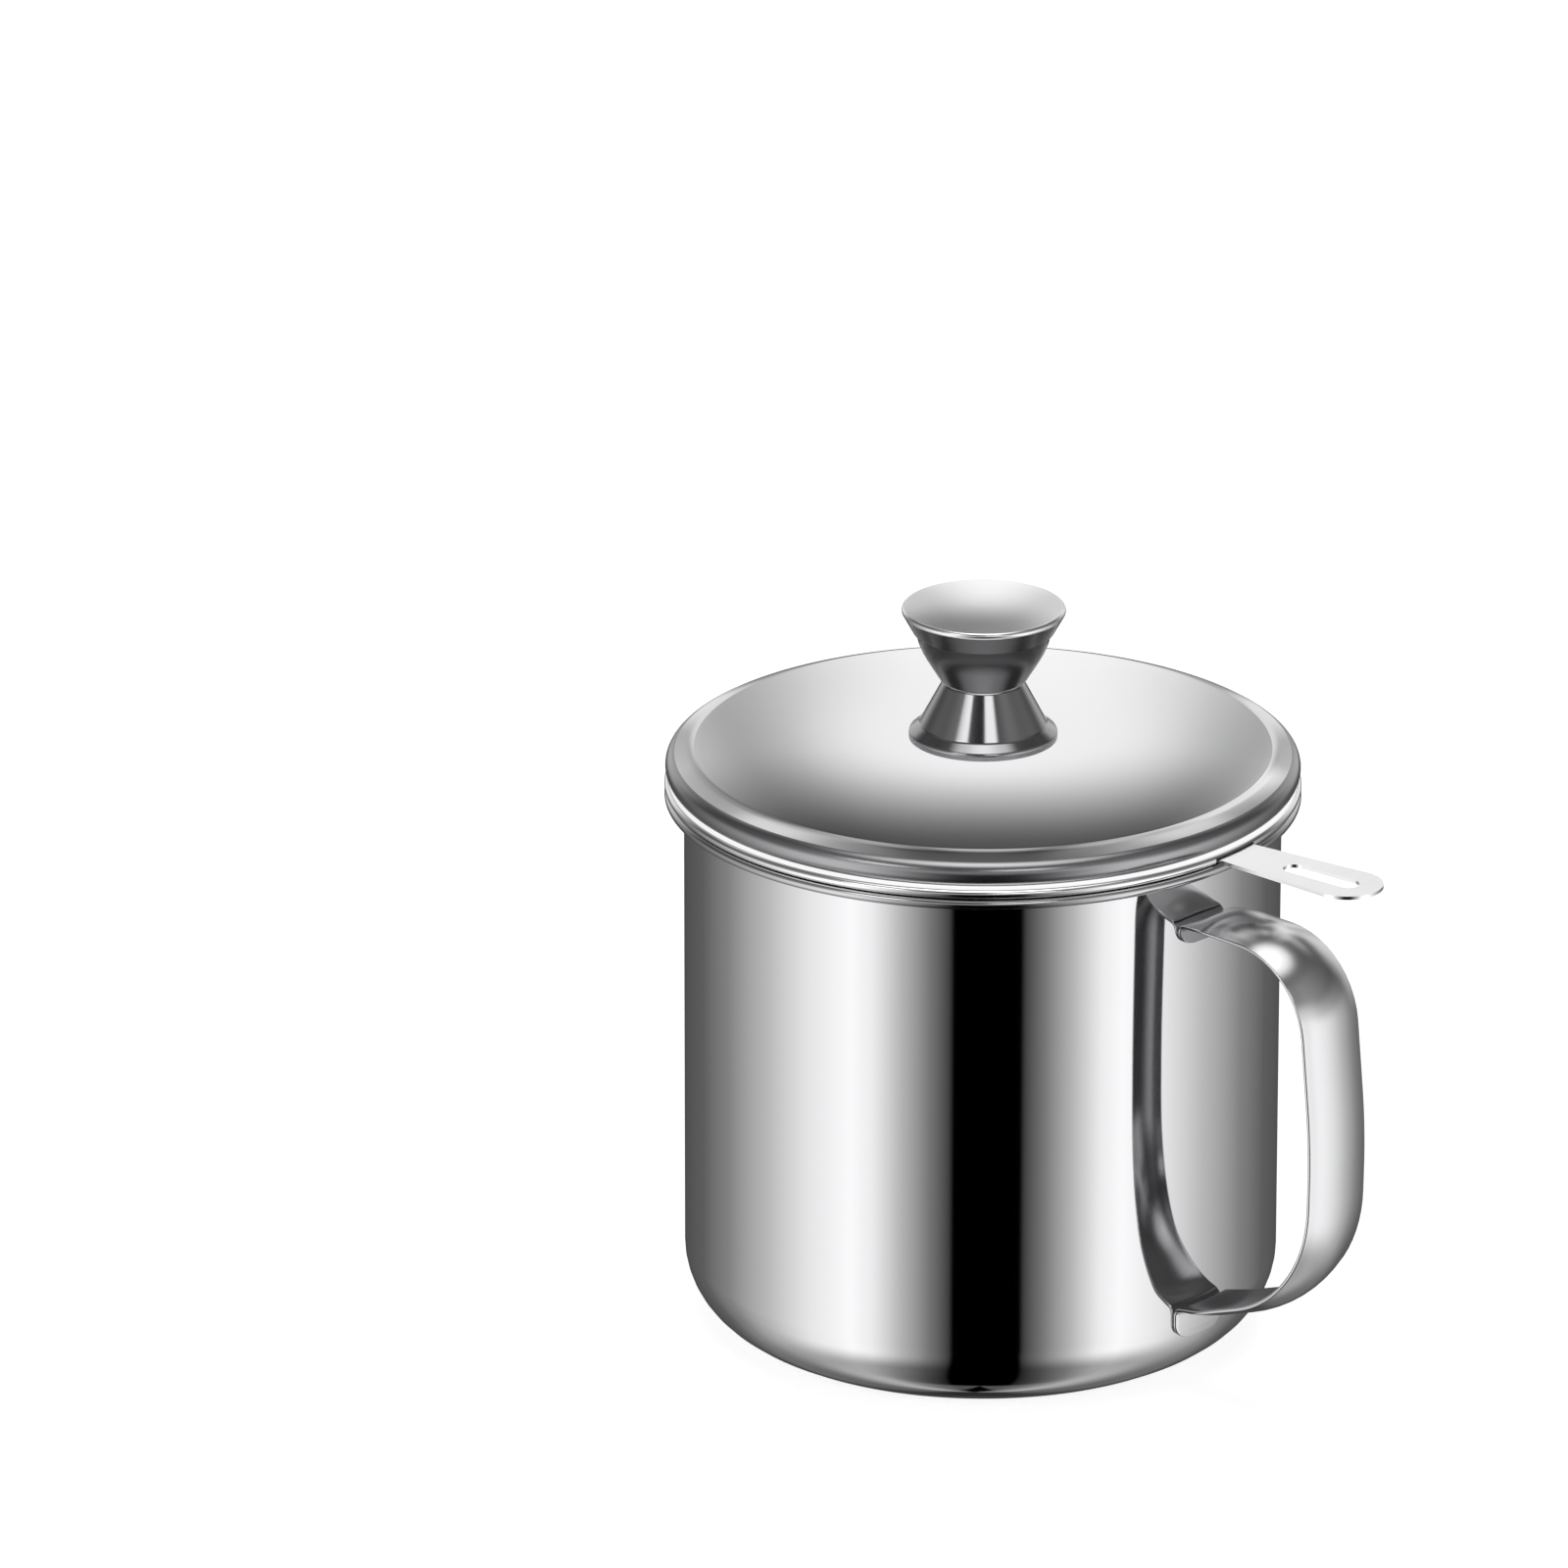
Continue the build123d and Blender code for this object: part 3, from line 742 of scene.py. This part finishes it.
swing, tilt = radians(view_azimuth), radians(view_elevation)
right = Vector((cos(swing), sin(swing), 0))
aim = Vector((0, 0, aim_height)) - aim_left * right
toward = Vector((sin(swing) * cos(tilt), -cos(swing) * cos(tilt), sin(tilt)))
lens = bpy.data.cameras.new("view")
lens.lens = 325
lens.sensor_width = 36
lens.clip_end = 50
camera = bpy.data.objects.new("view", lens)
camera.location = aim + toward * view_distance
camera.rotation_euler = toward.to_track_quat("Z", "Y").to_euler()
bpy.context.scene.collection.objects.link(camera)
bpy.context.scene.camera = camera

# ---- Floor ----
floor_half = 12.0
floor_level = -0.1 * MM         # just clear of the pot's flat floor
paper_grey = 0.9
paper_glow = 0.7

floor_mesh = bpy.data.meshes.new("floor")
floor_corners = [
    (x * floor_half, y * floor_half, floor_level) for x, y in ((-1, -1), (1, -1), (1, 1), (-1, 1))
]
floor_mesh.from_pydata(floor_corners, [], [(0, 1, 2, 3)])
floor = bpy.data.objects.new("floor", floor_mesh)
bpy.context.scene.collection.objects.link(floor)
paper = bpy.data.materials.new("white_paper")
paper.use_nodes = True
paper_shader = paper.node_tree.nodes["Principled BSDF"]
paper_shader.inputs["Base Color"].default_value = (paper_grey, paper_grey, paper_grey, 1)
paper_shader.inputs["Roughness"].default_value = 0.9
paper_shader.inputs["Specular IOR Level"].default_value = 0.0
paper_shader.inputs["Emission Color"].default_value = (1, 1, 1, 1)
paper_shader.inputs["Emission Strength"].default_value = paper_glow
floor_mesh.materials.append(paper)
floor.visible_glossy = False
floor.visible_shadow = False

# ---- Studio light: panels either side of a dark strip, a bright back and a soft top ----
# It is all painted on the world. A weak fill in front and a narrow light behind complete it.
strip_azimuth = 45.4            # of the dark strip between the low panels
high_azimuth = 30
back_azimuth = view_azimuth + 180
band_azimuth = back_azimuth - 1.2
light_azimuth = 211
corner_drop = 0.353             # directions that go down more are mirrored in the pot's corner
corner_bend = 0.95              # widens the strip there, so that its image doesn't taper

world = bpy.data.worlds.new("studio")
bpy.context.scene.world = world
world.use_nodes = True
sky = Look(world.node_tree)
backdrop = world.node_tree.nodes["Background"]
ahead = sky.add("ShaderNodeTexCoord").outputs["Generated"]
height = sky.add("ShaderNodeSeparateXYZ", {0: ahead}).outputs[2]
rise = sky.math("ADD", sky.math("MULTIPLY", sky.math("ARCSINE", height), 1 / pi), 0.5)
below = sky.math("MINIMUM", sky.math("ADD", height, corner_drop), 0.0)
straightened = sky.math("MULTIPLY", sky.math("MULTIPLY", below, below), corner_bend)


def facing(x, y):
    """How far a direction goes the way of a level one."""
    return sky.add(
        "ShaderNodeVectorMath", {0: ahead, 1: (x, y, 0)}, operation="DOT_PRODUCT"
    ).outputs["Value"]


# The stops of both are pairs of degrees and light.
def beside(azimuth, *stops, mode="EASE", lift=0.0):
    """Light by degrees either side of an azimuth. lift makes a direction count as nearer to it."""
    swing = radians(azimuth)
    front, side = facing(sin(swing), -cos(swing)), facing(cos(swing), sin(swing))
    turn = sky.math("ABSOLUTE", sky.math("ARCTAN2", side, sky.math("ADD", front, lift)))
    places = [(angle / 180, level) for angle, level in stops]
    return sky.ramp(sky.math("MULTIPLY", turn, 1 / pi), places, mode)


def upward(*stops, mode="EASE"):
    """Light by degrees above the horizon."""
    return sky.ramp(rise, [((angle + 90) / 180, level) for angle, level in stops], mode)


overhead = upward((50, 0), (60, 0.12), (72, 1.2), (86, 2.0))
low_panels = sky.math(
    "MULTIPLY",
    beside(strip_azimuth, (0, 0), (13, 0), (14.5, 0.06), (22, 0.22), (33, 0.56), (45, 1.05),
           (54, 1.2), (73, 0.97), (93, 0.6), (118, 0.27), (140, 0.13), (175, 0.07),
           mode="LINEAR", lift=straightened),
    upward((-90, 0.25), (-60, 0.40), (-35, 1), (0, 1), (14, 0.5), (26, 0.22), (46, 0.2), (60, 0)),
)
high_panels = sky.math(
    "MULTIPLY",
    beside(high_azimuth, (0, 0), (14, 0), (20, 2.0), (37, 2.0), (45, 0)),
    upward((29, 0), (34, 1), (41, 1), (46, 0)),
)
back_band = sky.math(
    "MULTIPLY",
    beside(band_azimuth, (0, 1), (1.1, 1), (1.9, 0.93), (2.6, 0.82), (3.2, 0.66), (3.9, 0.48),
           (5, 0.38), (7, 0.75), (9.5, 0.75), (12, 0.42), (15, 0.5), (22, 0.74), (36, 0.6),
           (46, 0.25), (56, 0), mode="LINEAR"),
    upward((-12, 0), (0, 1.05), (21.5, 1.04), (23, 0.92), (25.7, 0.59), (28.9, 0.26), (31, 0.12),
           (33, 0.06), (37, 0.1), (41, 0.6), (46, 0.6), (51, 0.08), (58, 0), mode="LINEAR"),
)
shoulders = sky.math(
    "MULTIPLY",
    beside(back_azimuth, (0, 0), (7, 0), (14, 0.26), (20, 0.4), (27, 0.05)),
    upward((20, 0), (32, 1), (50, 1), (62, 0)),
)
under_back = sky.math(
    "MULTIPLY",
    beside(back_azimuth, (0, 0), (6, 0), (14, 0.1), (60, 0.1), (100, 0)),
    upward((-80, 1), (-48, 1), (-36, 0)),
)
# Seen from behind, the lid and the tab mirror this fill, and without it they look black.
fore_fill = sky.math(
    "MULTIPLY",
    beside(view_azimuth, (0, 0.38), (40, 0.38), (75, 0)),
    upward((1, 0), (8, 1), (23, 1), (30, 0)),
)
back_light = sky.math(
    "MULTIPLY",
    beside(light_azimuth, (0, 0.6), (3, 0.6), (8, 0)),
    upward((20, 0), (26, 1), (36, 1), (42, 0)),
)
total = overhead
for panel in (
    low_panels, high_panels, back_band, shoulders, under_back, fore_fill, back_light,
):
    total = sky.math("ADD", total, panel)
sky.links.new(total, backdrop.inputs["Color"])

# The photographed pieces were lit one by one, so these don't darken what is below them.
fixings = [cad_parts[name] for name in ("knob_insert", "knob_washer", "knob_screw")]
for lone in (lid, base, cup, cap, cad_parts["strainer_handle"], *fixings):
    lone.visible_glossy = False
    lone.visible_diffuse = False
    lone.visible_shadow = False

bpy.context.scene.view_settings.view_transform = "Standard"
